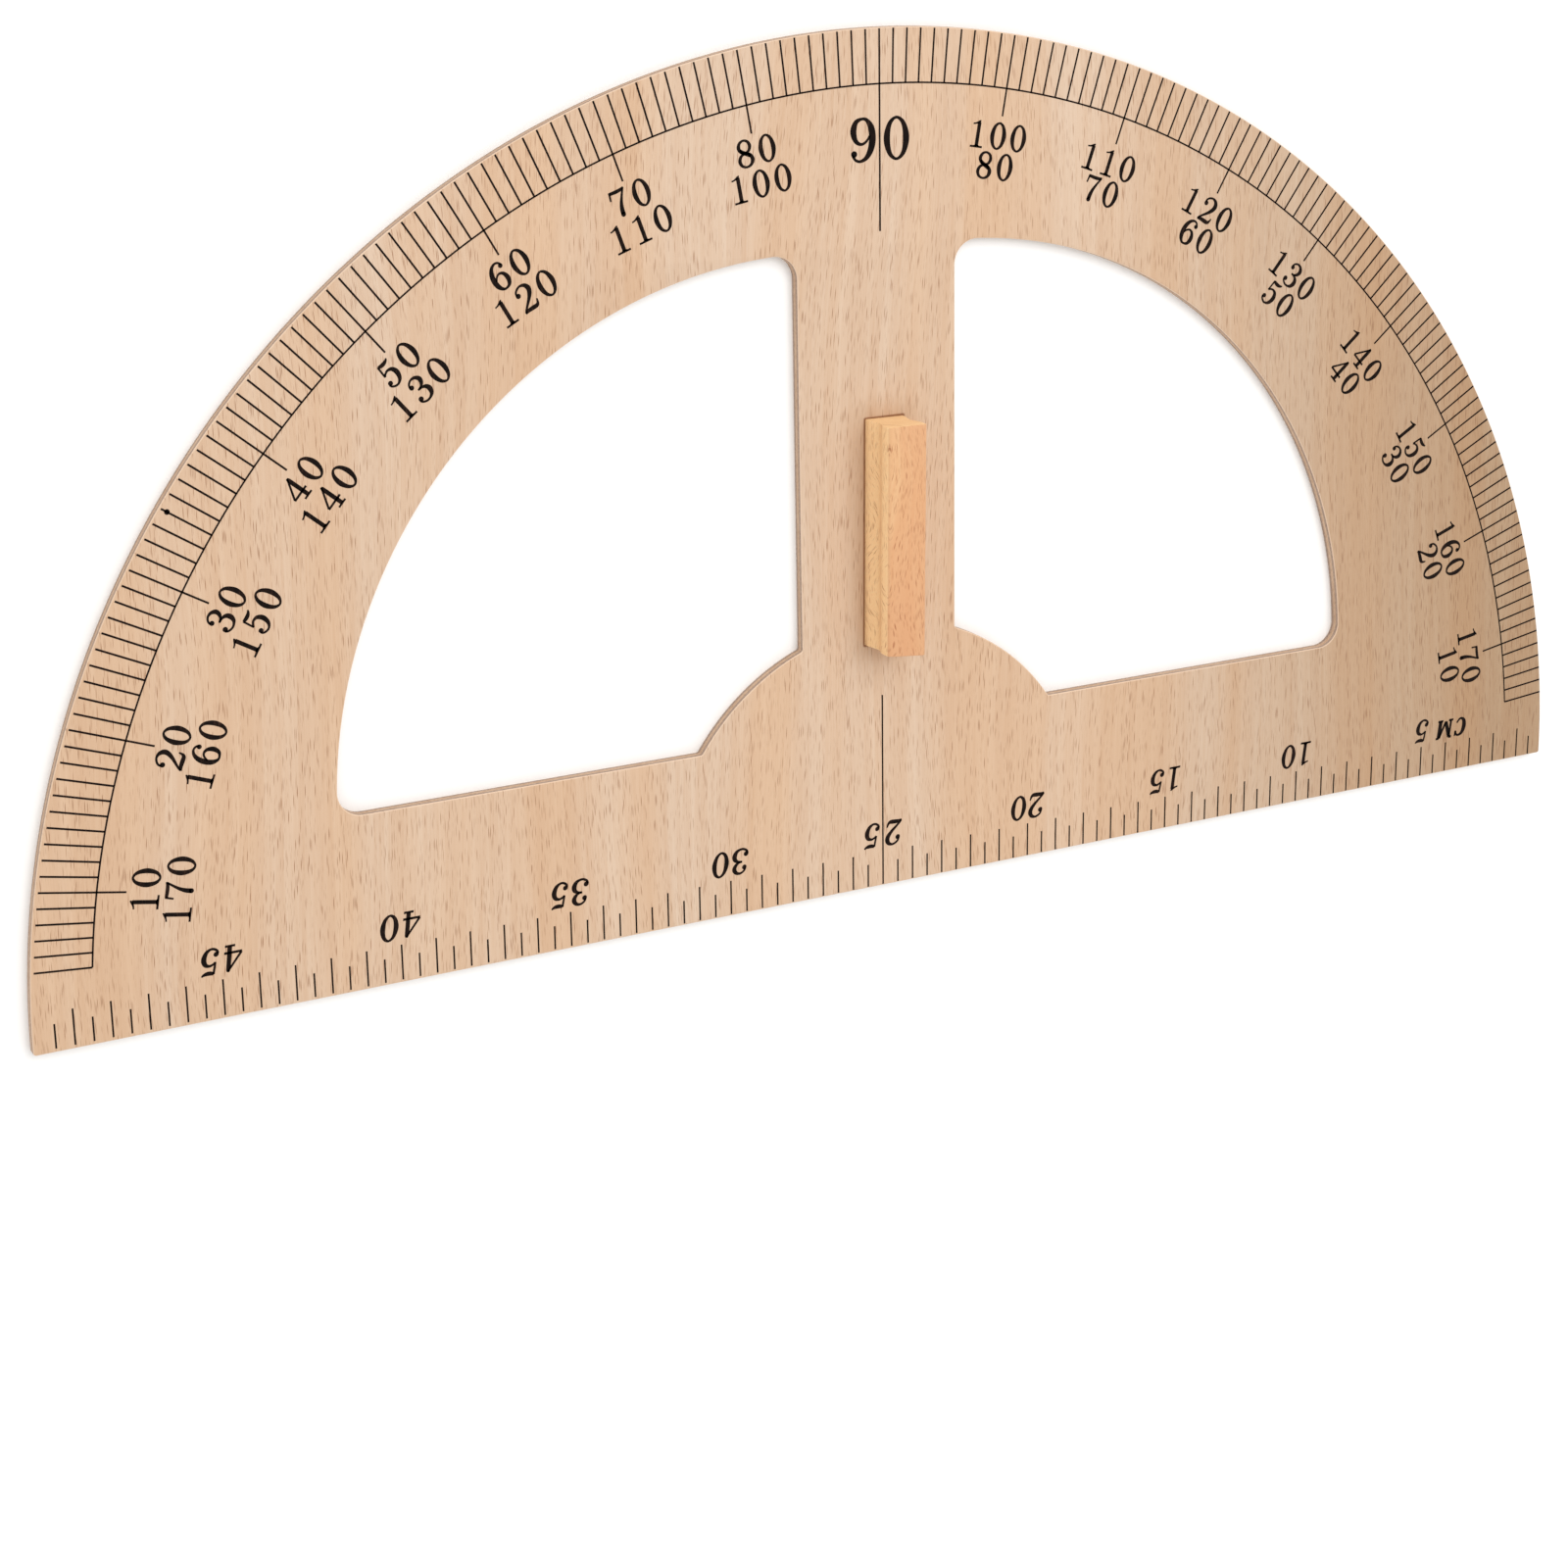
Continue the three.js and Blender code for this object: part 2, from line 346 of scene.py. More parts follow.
def oval(cx, cy, rx, ry, left, top, right, bottom):
    """A closed pen stroke round an oval, with the pen's half width on each of its four sides."""
    sides = ((-1, 0, left), (0, 1, top), (1, 0, right), (0, -1, bottom))
    stroke = []
    for i, (ux, uy, pen) in enumerate(sides):
        vx, vy, next_pen = sides[(i + 1) % 4]
        stroke.append((cx + ux * rx, cy + uy * ry, pen))
        stroke.append((cx + (ux + vx) * rx * DIAGONAL, cy + (uy + vy) * ry * DIAGONAL,
                       (pen + next_pen) * DIAGONAL_PEN))
    return stroke + stroke[:1]


SIX_STROKE = [(2.05, 6.35, 0.19), (1.45, 7.2, 0.2), (0.45, 7.48, 0.22), (-0.75, 6.85, 0.38),
              (-1.6, 5.4, 0.56), (-1.9, 3.6, 0.62), (-1.65, 1.75, 0.56), (-0.8, 0.45, 0.3),
              (0.2, 0.2, 0.21), (1.35, 0.75, 0.4), (1.85, 2.3, 0.56), (1.4, 3.9, 0.38),
              (0.35, 4.55, 0.22), (-0.7, 4.1, 0.18), (-1.45, 3.0, 0.14)]
SIX_BALL = (1.72, 6.2, 0.54)
GLYPHS = {
    "0": {"strokes": [oval(0, 3.85, 1.92, 3.6, 0.58, 0.2, 0.58, 0.2)]},
    "1": {"strokes": [[(0.1, 0.2, 0.46), (0.1, 7.0, 0.46)],
                      [(-1.85, 6.45, 0.1), (-1.1, 6.6, 0.12), (-0.45, 6.85, 0.2),
                       (0.1, 7.15, 0.26), (0.5, 7.6, 0.02)],
                      [(-1.95, 0.18, SERIF), (2.0, 0.18, SERIF)],
                      [(-0.9, 0.3, 0.02), (0.1, 0.45, 0.22), (1.1, 0.3, 0.02)]]},
    "2": {"strokes": [[(-2.0, 5.6, 0.18), (-1.75, 6.55, 0.19), (-0.95, 7.22, 0.2),
                       (0.1, 7.48, 0.22), (1.25, 7.0, 0.42), (1.85, 5.85, 0.58),
                       (1.55, 4.6, 0.53), (0.6, 3.3, 0.38), (-0.6, 2.1, 0.26),
                       (-1.7, 1.0, 0.2), (-2.2, 0.3, 0.17)],
                      [(-2.3, 0.2, 0.17), (-1.3, 0.52, 0.4), (0.2, 0.5, 0.5), (1.4, 0.46, 0.46),
                       (2.0, 0.85, 0.3), (2.25, 1.5, 0.16), (2.38, 2.05, 0.1)]],
          "balls": [(-1.62, 5.42, 0.6)]},
    "3": {"strokes": [[(-2.0, 5.95, 0.17), (-1.55, 6.88, 0.19), (-0.5, 7.46, 0.21),
                       (0.75, 7.2, 0.35), (1.55, 6.1, 0.53), (1.25, 4.95, 0.42),
                       (0.4, 4.2, 0.22), (-0.75, 3.98, 0.16)],
                      [(-0.6, 3.98, 0.16), (0.6, 3.85, 0.24), (1.6, 3.15, 0.48),
                       (1.87, 2.0, 0.6), (1.35, 0.8, 0.42), (0.3, 0.24, 0.23),
                       (-0.8, 0.22, 0.2), (-1.85, 0.8, 0.19), (-2.2, 1.55, 0.2)]],
          "balls": [(-1.6, 5.72, 0.57), (-1.75, 1.72, 0.61)]},
    "4": {"strokes": [[(0.95, 0.2, 0.46), (0.95, 6.3, 0.46), (1.1, 7.45, 0.16)],
                      [(1.1, 7.4, 0.16), (-2.4, 2.2, 0.2)],
                      [(-2.5, 2.1, 0.21), (2.4, 2.1, 0.21)],
                      [(-0.5, 0.18, SERIF), (2.3, 0.18, SERIF)]]},
    "5": {"strokes": [[(-1.25, 7.3, 0.18), (-1.55, 3.95, 0.16)],
                      [(-1.25, 7.2, 0.26), (-0.4, 6.92, 0.42), (0.7, 6.9, 0.42),
                       (1.6, 7.2, 0.22), (1.95, 7.6, 0.08)],
                      [(-1.55, 3.95, 0.15), (-0.9, 4.55, 0.19), (0.1, 4.83, 0.24),
                       (1.2, 4.3, 0.44), (1.68, 2.85, 0.58), (1.2, 1.15, 0.44),
                       (0.15, 0.26, 0.23), (-0.9, 0.23, 0.2), (-1.85, 0.85, 0.19),
                       (-2.1, 1.6, 0.2)]],
          "balls": [(-1.62, 1.78, 0.57)]},
    "6": {"strokes": [SIX_STROKE], "balls": [SIX_BALL]},
    "7": {"strokes": [[(-1.95, 7.45, 0.2), (-2.28, 5.1, 0.14)],
                      [(-2.0, 7.1, 0.32), (-0.2, 6.98, 0.4), (1.5, 7.08, 0.34), (2.35, 7.5, 0.1)],
                      [(2.2, 7.3, 0.16), (1.2, 5.4, 0.24), (0.45, 3.7, 0.36),
                       (0.02, 2.1, 0.5), (-0.1, 0.6, 0.56)]],
          "balls": [(-0.1, 0.58, 0.58)]},
    "8": {"strokes": [oval(0, 5.75, 1.68, 1.72, 0.44, 0.21, 0.4, 0.24),
                      oval(0, 2.05, 1.93, 1.84, 0.42, 0.24, 0.5, 0.21),
                      [(-1.4, 5.15, 0.25), (-0.75, 4.45, 0.4), (0.0, 3.95, 0.46),
                       (0.85, 3.45, 0.46), (1.5, 2.9, 0.3)]]},
    "9": {"strokes": [[(-x, DIGIT_HEIGHT - y, pen) for x, y, pen in SIX_STROKE]],
          "balls": [(-SIX_BALL[0], DIGIT_HEIGHT - SIX_BALL[1], SIX_BALL[2])]},
    "C": {"strokes": [[(1.7, 4.3, 0.12), (1.3, 5.4, 0.16), (0.3, 5.85, 0.2), (-1.0, 5.1, 0.46),
                       (-1.55, 3.2, 0.62), (-1.2, 1.2, 0.46), (-0.2, 0.3, 0.2),
                       (0.8, 0.5, 0.18), (1.6, 1.6, 0.12)],
                      [(1.8, 6.0, 0.12), (1.7, 4.2, 0.14)]]},
    "M": {"strokes": [[(-2.1, 0.2, 0.22), (-2.1, 5.9, 0.22)],
                      [(-2.1, 5.8, 0.5), (0.0, 0.5, 0.42)],
                      [(0.0, 0.4, 0.22), (2.0, 5.9, 0.24)],
                      [(2.15, 0.2, 0.55), (2.15, 5.9, 0.55)],
                      [(-3.0, 0.18, SERIF), (-1.2, 0.18, SERIF)],
                      [(1.15, 0.18, SERIF), (3.2, 0.18, SERIF)],
                      [(-3.05, 5.92, SERIF), (-1.9, 5.92, SERIF)],
                      [(2.0, 5.92, SERIF), (3.25, 5.92, SERIF)]]},
}


class Ink:
    """Gathers flat ink shapes, in millimetres on the print, and makes one thin body of them."""

    def __init__(self):
        self.vertices = []
        self.faces = []

    def strip(self, left, right, closed=False):
        """A raised strip between two rows of points."""
        start = len(self.vertices)
        count = len(left)
        for x, y in left + right:
            self.vertices.append((x, y, BOARD_TOP + INK_HEIGHT))
        for x, y in left + right:
            self.vertices.append((x, y, BOARD_TOP - INK_HEIGHT))
        under = 2 * count
        for i in range(count if closed else count - 1):
            j = (i + 1) % count
            a, b, c, d = start + i, start + j, start + count + j, start + count + i
            self.faces.append((a, b, c, d))
            self.faces.append((a + under, b + under, b, a))
            self.faces.append((d, c, c + under, d + under))
        if not closed:
            for i in (0, count - 1):
                a, b = start + i, start + count + i
                self.faces.append((a, b, b + under, a + under))

    def line(self, x0, y0, x1, y1, width):
        """A straight line of that width."""
        length = math.hypot(x1 - x0, y1 - y0)
        nx = -(y1 - y0) / length * width / 2
        ny = (x1 - x0) / length * width / 2
        self.strip([(x0 + nx, y0 + ny), (x1 + nx, y1 + ny)],
                   [(x0 - nx, y0 - ny), (x1 - nx, y1 - ny)])

    def pen(self, stroke, place, gain):
        """A pen stroke of varying width; place turns its millimetres into the print's."""
        closed = len(stroke) > 2 and stroke[0] == stroke[-1]
        points = spline(stroke, closed)
        if closed:
            points = points[:-1]
        count = len(points)
        left = []
        right = []
        for i, (x, y, pen) in enumerate(points):
            before = points[(i - 1) % count] if closed else points[max(i - 1, 0)]
            after = points[(i + 1) % count] if closed else points[min(i + 1, count - 1)]
            dx, dy = after[0] - before[0], after[1] - before[1]
            length = math.hypot(dx, dy)
            pen += gain
            left.append(place(x - dy / length * pen, y + dx / length * pen))
            right.append(place(x + dy / length * pen, y - dx / length * pen))
        self.strip(left, right, closed)

    def ball(self, x, y, radius, place):
        """A round dot, drawn as a closed ring round a small core."""
        rim = arc(x, y, radius, 0, math.tau, 18)[:-1]
        core = arc(x, y, radius * 0.02, 0, math.tau, 18)[:-1]
        self.strip([place(*p) for p in rim], [place(*p) for p in core], closed=True)

    def text(self, word, advance, place, gain=PEN_GAIN, height=DIGIT_HEIGHT, slant=0.0):
        """A word centred on x = 0 with its baseline on y = 0, before place moves it."""
        size = height / DIGIT_HEIGHT
        for i, letter in enumerate(word):
            middle = (i - (len(word) - 1) / 2) * advance

            def spot(x, y, middle=middle):
                lean = slant * (y - DIGIT_HEIGHT / 2)
                return place(middle + (x + lean) * size, y * size)

            for stroke in GLYPHS[letter]["strokes"]:
                self.pen(stroke, spot, gain)
            for x, y, radius in GLYPHS[letter].get("balls", ()):
                self.ball(x, y, radius + gain, spot)

    def build(self, name, material):
        """The finished ink body, turned and shifted as the print lies on the board."""
        turn = Matrix.Rotation(PRINT_TURN, 2)
        shift = Vector(PRINT_SHIFT)
        placed = []
        for x, y, z in self.vertices:
            spot = turn @ Vector((x, y)) + shift
            reach = spot.length
            limit = BOARD_RADIUS - MARGIN
            if reach > limit:
                spot *= limit / reach
            placed.append((spot.x, max(spot.y, MARGIN), z))
        obj = outward(new_object(name, placed, self.faces, smooth_angle=40))
        obj.data.materials.append(material)
        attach(obj, ROOT)
        return obj


def radial(angle, baseline, shift=0.0):
    """Places text on a circle: its up points outwards at that angle, in degrees."""
    a = math.radians(angle)
    up = Vector((math.cos(a), math.sin(a)))
    across = Vector((math.sin(a), -math.cos(a)))

    def place(x, y):
        spot = up * (baseline + y) + across * (x + shift)
        return spot.x, spot.y
    return place


def upside_down(centre_x, baseline):
    """Places text upside down, standing on a line above it."""
    return lambda x, y: (centre_x - x, baseline - y)


def degree_scale(material):
    """The arc, a tick for each degree and the longer tenth ticks."""
    ink = Ink()
    half = ARC_LINE / 2
    start, end = math.radians(FIRST_DEGREE), math.radians(LAST_DEGREE)
    ink.strip(arc(0, 0, ARC_RADIUS + half, start, end, BOARD_STEPS),
              arc(0, 0, ARC_RADIUS - half, start, end, BOARD_STEPS))
    for degree in range(FIRST_DEGREE, LAST_DEGREE + 1):
        a = math.radians(degree)
        ux, uy = math.cos(a), math.sin(a)
        low = ARC_RADIUS
        if degree % 10 == 0:
            low = RIGHT_ANGLE_LINE_END if degree == 90 else ARC_RADIUS - TENTH_LENGTH
        ink.line(ux * low, uy * low, ux * TICK_REACH, uy * TICK_REACH, DEGREE_LINE)
    angle, distance, radius = BLOT
    ink.ball(0, 0, radius, radial(angle, distance))
    return ink.build("ink_degree_scale", material)


def rule(material):
    """The centimetre rule along the straight edge and the centre line."""
    ink = Ink()
    for half_cm in range(1, 100):
        x = RULE_HALF - 5 * half_cm
        reach = HALF_CM_TICK if half_cm % 2 else CM_TICK
        if half_cm == 50:
            reach = CENTRE_LINE_LENGTH
        ink.line(x, 0, x, reach, RULE_LINE)
    return ink.build("ink_rule", material)


def numerals(material):
    """Degrees in two rows, counted from both ends, the large 90 and the rule's numerals."""
    ink = Ink()
    for angle in range(10, 180, 10):
        if angle == 90:
            continue
        half = "left" if angle > 90 else "right"
        ink.text(str(180 - angle), DEGREE_ADVANCE, radial(angle, *OUTER_ROW[half]))
        ink.text(str(angle), DEGREE_ADVANCE, radial(angle, *INNER_ROW[half]))
    ink.text("90", RIGHT_ANGLE_ADVANCE, radial(90, RIGHT_ANGLE_BASELINE),
             RIGHT_ANGLE_PEN_GAIN, RIGHT_ANGLE_HEIGHT)
    for cm in range(5, 50, 5):
        advance = RULE_MIDDLE_ADVANCE if cm == 25 else RULE_ADVANCE
        centre = RULE_HALF - 10 * cm - RULE_SHIFT
        ink.text(str(cm), advance, upside_down(centre, RULE_BASELINE), RULE_PEN_GAIN,
                 slant=RULE_SLANT)
    ink.text("CM", UNIT_ADVANCE, upside_down(UNIT_X, UNIT_BASELINE), UNIT_PEN_GAIN,
             slant=RULE_SLANT)
    return ink.build("ink_numerals", material)


# ---------------------------------------------------------------- materials

# Painted shade round the grip: a soft halo and a dark contact line stand in for the shadow the
# grip casts on the board.
GRIP_SHADE_REACH = 8             # how far the painted shade spreads from the grip's foot
GRIP_SHADE_STRENGTH = 0.3
CONTACT_SHADOW_FADE = (0.3, 0.75)  # the painted contact shadow at the foot fades out between these distances
GRIP_SHADE_TINT = (0.62, 0.5, 0.36, 1.0)
CONTACT_SHADOW_TINT = (0.42, 0.26, 0.15, 1.0)
# Painted fall-off of light: the board's veneer darkens towards its right end.
LIGHT_FALLOFF_TINT = (0.64, 0.57, 0.47, 1.0)
ARRIS_HIGHLIGHT_LIFT = 1.25           # how much brighter the painted highlight on the eased arrises is
FLECK_TINT = (0.55, 0.42, 0.34)


class Shader:
    """A material's node tree, with short calls for the few nodes used here."""

    def __init__(self, name):
        self.material = bpy.data.materials.new(name)
        self.material.use_nodes = True
        self.tree = self.material.node_tree
        self.bsdf = self.tree.nodes["Principled BSDF"]
        self.unbent = self.node("ShaderNodeTexCoord").outputs["Object"]
        self.where = self.unbent

    def node(self, kind, inputs=None, **settings):
        made = self.tree.nodes.new(kind)
        for key, value in settings.items():
            setattr(made, key, value)
        for key, value in (inputs or {}).items():
            if isinstance(value, bpy.types.NodeSocket):
                self.tree.links.new(value, made.inputs[key])
            else:
                made.inputs[key].default_value = value
        return made

    def scaled(self, sx, sy, sz, shift=0.0):
        return self.node("ShaderNodeMapping", {
            "Vector": self.where, "Location": (shift, shift * 1.7, shift * 0.6),
            "Scale": (sx, sy, sz)}).outputs["Vector"]

    def noise(self, scale, detail=3.0, rough=0.5, shift=0.0):
        """Noise from 0 to 1; scale is its count per metre along X, Y and Z."""
        return self.node("ShaderNodeTexNoise", {
            "Vector": self.scaled(*scale, shift=shift), "Scale": 1.0, "Detail": detail,
            "Roughness": rough}).outputs["Fac"]

    def span(self, value, low, high, out_low=0.0, out_high=1.0, smooth=False):
        return self.node("ShaderNodeMapRange", {
            "Value": value, "From Min": low, "From Max": high,
            "To Min": out_low, "To Max": out_high},
            interpolation_type="SMOOTHSTEP" if smooth else "LINEAR").outputs["Result"]

    def near_grip(self):
        """Painted shade round the grip's foot: masks of a soft halo and a fine contact shadow
        line.

        Both lie on the front face only, and are turned with the grip.
        """
        parts = self.node("ShaderNodeSeparateXYZ", {"Vector": self.unbent})
        x = self.math("SUBTRACT", parts.outputs["X"], GRIP_CENTRE[0] * MM)
        y = self.math("SUBTRACT", parts.outputs["Y"], GRIP_CENTRE[1] * MM)
        x = self.math("MULTIPLY_ADD", y, math.sin(GRIP_TURN), x)
        gaps = []
        for along, half in ((x, GRIP_FOOT_HALF_WIDTH), (y, GRIP_LENGTH / 2)):
            away = self.math("SUBTRACT", self.math("ABSOLUTE", along), half * MM)
            gaps.append(self.math("MAXIMUM", away, 0.0))
        gap = self.math("SQRT", self.math("ADD", self.math("POWER", gaps[0], 2.0),
                                          self.math("POWER", gaps[1], 2.0)))
        front = self.span(parts.outputs["Z"], (BOARD_TOP - 1) * MM, (BOARD_TOP - 0.5) * MM)
        halo = self.span(gap, 0.0, GRIP_SHADE_REACH * MM, GRIP_SHADE_STRENGTH, 0.0, smooth=True)
        solid, gone = CONTACT_SHADOW_FADE
        line = self.span(gap, solid * MM, gone * MM, 1.0, 0.0)
        return self.math("MULTIPLY", halo, front), self.math("MULTIPLY", line, front)

    def bend(self, scale, reach):
        """Lets the grain wander sideways along its length."""
        drift = self.node("ShaderNodeTexNoise", {
            "Vector": self.scaled(scale, scale * 0.6, scale, shift=0.4), "Scale": 1.0,
            "Detail": 1.0})
        offset = self.span(drift.outputs["Fac"], 0.0, 1.0, -reach * MM, reach * MM)
        sideways = self.node("ShaderNodeCombineXYZ", {"X": offset})
        self.where = self.node("ShaderNodeVectorMath", {
            0: self.where, 1: sideways.outputs["Vector"]}, operation="ADD").outputs["Vector"]

    def math(self, operation, a, b=0.0, c=0.0):
        return self.node("ShaderNodeMath", {0: a, 1: b, 2: c}, operation=operation).outputs[0]

    def mix(self, factor, a, b, blend="MIX"):
        made = self.node("ShaderNodeMix", data_type="RGBA", blend_type=blend)
        for socket, value in (("Factor_Float", factor), ("A_Color", a), ("B_Color", b)):
            target = next(s for s in made.inputs if s.identifier == socket)
            if isinstance(value, bpy.types.NodeSocket):
                self.tree.links.new(value, target)
            else:
                target.default_value = value
        return next(s for s in made.outputs if s.identifier == "Result_Color")

    def wrapped(self, scale, shift):
        """Coordinates that run round the grain: across it in the first, along it in the second."""
        parts = self.node("ShaderNodeSeparateXYZ", {"Vector": self.where})
        across = self.math("SUBTRACT", parts.outputs["X"], parts.outputs["Z"])
        flat = self.node("ShaderNodeCombineXYZ", {
            "X": self.math("MULTIPLY_ADD", across, scale[0], shift),
            "Y": self.math("MULTIPLY_ADD", parts.outputs["Y"], scale[1], shift)})
        return flat.outputs["Vector"]

    def dashes(self, scale, size, share, shift=0.0):
        """1 inside short dashes along the grain, 0 elsewhere; share of the cells hold one."""
        cells = self.node("ShaderNodeTexVoronoi", {
            "Vector": self.wrapped(scale, shift), "Scale": 1.0, "Randomness": 1.0},
            voronoi_dimensions="2D")
        inside = self.span(cells.outputs["Distance"], size, size * 0.45)
        chosen = self.node("ShaderNodeSeparateColor", {"Color": cells.outputs["Color"]})
        picked = self.math("LESS_THAN", chosen.outputs[0], share)
        strength = self.span(chosen.outputs[1], 0.0, 1.0, 0.4, 1.0)
        return self.math("MULTIPLY", self.math("MULTIPLY", inside, picked), strength)

    def edges(self):
        """Two masks: 1 on the upright edges, and 1 on those and on the eased arrises."""
        normal = self.node("ShaderNodeSeparateXYZ", {
            "Vector": self.node("ShaderNodeNewGeometry").outputs["True Normal"]})
        flatness = self.math("ABSOLUTE", normal.outputs["Z"])
        return self.span(flatness, 0.5, 0.3), self.span(flatness, 0.95, 0.8)

    def finish(self, colour, roughness, height, strength=0.25, distance=0.00006):
        bump = self.node("ShaderNodeBump", {
            "Height": height, "Strength": strength, "Distance": distance})
        for key, value in (("Base Color", colour), ("Roughness", roughness),
                           ("Normal", bump.outputs["Normal"])):
            self.tree.links.new(value, self.bsdf.inputs[key])
        return self.material


def srgb(red, green, blue):
    """A display colour, 0 to 255, as the linear colour a node takes."""
    def linear(value):
        value /= 255
        return value / 12.92 if value <= 0.04045 else ((value + 0.055) / 1.055) ** 2.4
    return (linear(red), linear(green), linear(blue), 1.0)


def beech(name, pale, warm, fleck, edge_light, edge_dark, share, fleck_scale, depth,
          wander, highlight=0.0, bare=1.0, side_pores=0.0, light_falloff=None):
    """Planed beech with its grain along Y: soft bands, fine fibres and short dark flecks.

    wander is how far the grain drifts sideways, highlight how strongly a painted highlight
    brightens the eased arrises, bare how much of the edge colour hides the grain on the upright
    sides, and side_pores how far the flecks still show there.
    light_falloff gives two places along X, in metres, between which the veneer darkens, a painted
    fall-off of light. Only the board has it, and only the board has painted shade round the grip.
    """
    s = Shader(name)
    s.bend(*wander)
    bands = s.span(s.noise((38, 1.6, 38), detail=2.0, shift=3.1), 0.38, 0.62)
    ground = s.mix(bands, pale, warm)
    streaks = s.span(s.noise((330, 6, 330), detail=4.0, rough=0.6, shift=1.3), 0.35, 0.7)
    ground = s.mix(s.math("MULTIPLY", streaks, 0.34), ground, fleck)
    fibres = s.noise((2400, 50, 2400), detail=2.0, shift=5.0)
    ground = s.mix(s.span(fibres, 0.35, 0.75, 0.0, 0.26), ground, fleck)
    flecks = s.dashes(fleck_scale, 0.34, share)
    fine = s.dashes(tuple(1.6 * c for c in fleck_scale), 0.32, share, shift=7.7)
    dark = s.math("MAXIMUM", flecks, s.math("MULTIPLY", fine, 0.5))
    face = s.mix(s.math("MULTIPLY", dark, depth), ground, fleck_shade(fleck))
    # Painted fall-off of light: the veneer darkens between two places along X, towards the right
    # end.
    if light_falloff:
        parts = s.node("ShaderNodeSeparateXYZ", {"Vector": s.where})
        end = s.span(parts.outputs["X"], *light_falloff)
        face = s.mix(end, face, LIGHT_FALLOFF_TINT, blend="MULTIPLY")
        # Painted shade: the halo and the contact line darken the board round the grip's foot where
        # its shadow falls.
        halo, line = s.near_grip()
        face = s.mix(halo, face, GRIP_SHADE_TINT, blend="MULTIPLY")
        face = s.mix(line, face, CONTACT_SHADOW_TINT, blend="MULTIPLY")
    side, arris = s.edges()
    grit = s.span(s.noise((1500, 1500, 2600), detail=3.0, shift=2.0), 0.3, 0.7)
    edge = s.mix(grit, edge_light, edge_dark)
    # Painted highlight: the eased arrises are brightened by their slope.
    colour = s.mix(s.math("MULTIPLY", arris, highlight), face, pale_arris(pale))
    colour = s.mix(s.math("MULTIPLY", side, bare), colour, edge)
    pores = s.math("MULTIPLY", s.math("MULTIPLY", dark, side), side_pores)
    colour = s.mix(pores, colour, fleck_shade(fleck))
    s.bsdf.inputs["Specular IOR Level"].default_value = 0.35
    handled = s.span(s.noise((22, 22, 22), detail=3.0, shift=11.0), 0.35, 0.7, -0.06, 0.08)
    roughness = s.math("ADD", s.span(fibres, 0.3, 0.7, 0.52, 0.66), handled)
    height = s.math("SUBTRACT", fibres, s.math("MULTIPLY", dark, 1.5))
    return s.finish(colour, roughness, height)


def fleck_shade(colour):
    """A redder brown, about half as bright."""
    return tuple(c * tint for c, tint in zip(colour, FLECK_TINT)) + (1.0,)


def pale_arris(colour):
    """The same hue, a little brighter: the painted highlight on the eased arrises."""
    return tuple(min(1.0, c * ARRIS_HIGHLIGHT_LIFT) for c in colour[:3]) + (1.0,)


def core_material():
    """The middle ply shows its long grain and glue lines on the board's edge."""
    s = Shader("beech_core_edge")
    fibre = s.noise((60, 60, 4200), detail=3.0, shift=4.0)
    grit = s.noise((900, 900, 2500), detail=2.0, shift=9.0)
    mixed = s.mix(s.span(fibre, 0.3, 0.7), srgb(214, 186, 158), srgb(186, 150, 120))
    colour = s.mix(s.span(grit, 0.45, 0.8, 0.0, 0.6), mixed, srgb(150, 112, 84))
    s.bsdf.inputs["Specular IOR Level"].default_value = 0.3
    return s.finish(colour, s.span(grit, 0.2, 0.8, 0.62, 0.8), fibre)


def ink_material():
    """Brown-black printing ink, slightly uneven where the wood has drunk it."""
    s = Shader("printing_ink")
    patches = s.noise((420, 160, 420), detail=4.0, rough=0.65, shift=2.2)
    pores = s.noise((2400, 500, 2400), detail=2.0, shift=6.1)
    colour = s.mix(s.span(patches, 0.4, 0.75), srgb(14, 8, 6), srgb(34, 20, 15))
    colour = s.mix(s.span(pores, 0.6, 0.8, 0.0, 0.4), colour, srgb(96, 66, 50))
    s.bsdf.inputs["Specular IOR Level"].default_value = 0.06
    return s.finish(colour, s.span(patches, 0.3, 0.7, 0.4, 0.6), pores, strength=0.2)


def screw_material():
    """Bright zinc plating with fine turning marks and a slightly warm bloom."""
    s = Shader("zinc_plating")
    rings = s.noise((900, 900, 5200), detail=2.0, shift=1.0)
    bloom = s.noise((300, 300, 300), detail=4.0, shift=8.0)
    colour = s.mix(s.span(bloom, 0.35, 0.7), srgb(196, 196, 192), srgb(172, 166, 150))
    s.bsdf.inputs["Metallic"].default_value = 1.0
    return s.finish(colour, s.span(rings, 0.3, 0.7, 0.26, 0.42), rings, strength=0.15)


# ---------------------------------------------------------------- the object

EDGE_LIGHT = srgb(178, 153, 135)
EDGE_DARK = srgb(146, 120, 104)
face_beech = beech("beech_face", srgb(213, 188, 164), srgb(211, 178, 147), srgb(190, 148, 112),
                   EDGE_LIGHT, EDGE_DARK, share=0.23, fleck_scale=(2900, 150), depth=1.0,
                   wander=(9, 16), highlight=0.6, light_falloff=(0.07, 0.228))
# The grip's upright sides take a paler edge colour than its face: a painted brightening that
# stands in for light the sides lack.
grip_beech = beech("beech_grip", srgb(226, 186, 138), srgb(215, 163, 120), srgb(206, 140, 94),
                   srgb(255, 220, 168), srgb(252, 208, 154), share=0.42,
                   fleck_scale=(2500, 250), depth=0.85, wander=(60, 9), bare=0.8, side_pores=0.7)
core_beech = core_material()
ink = ink_material()

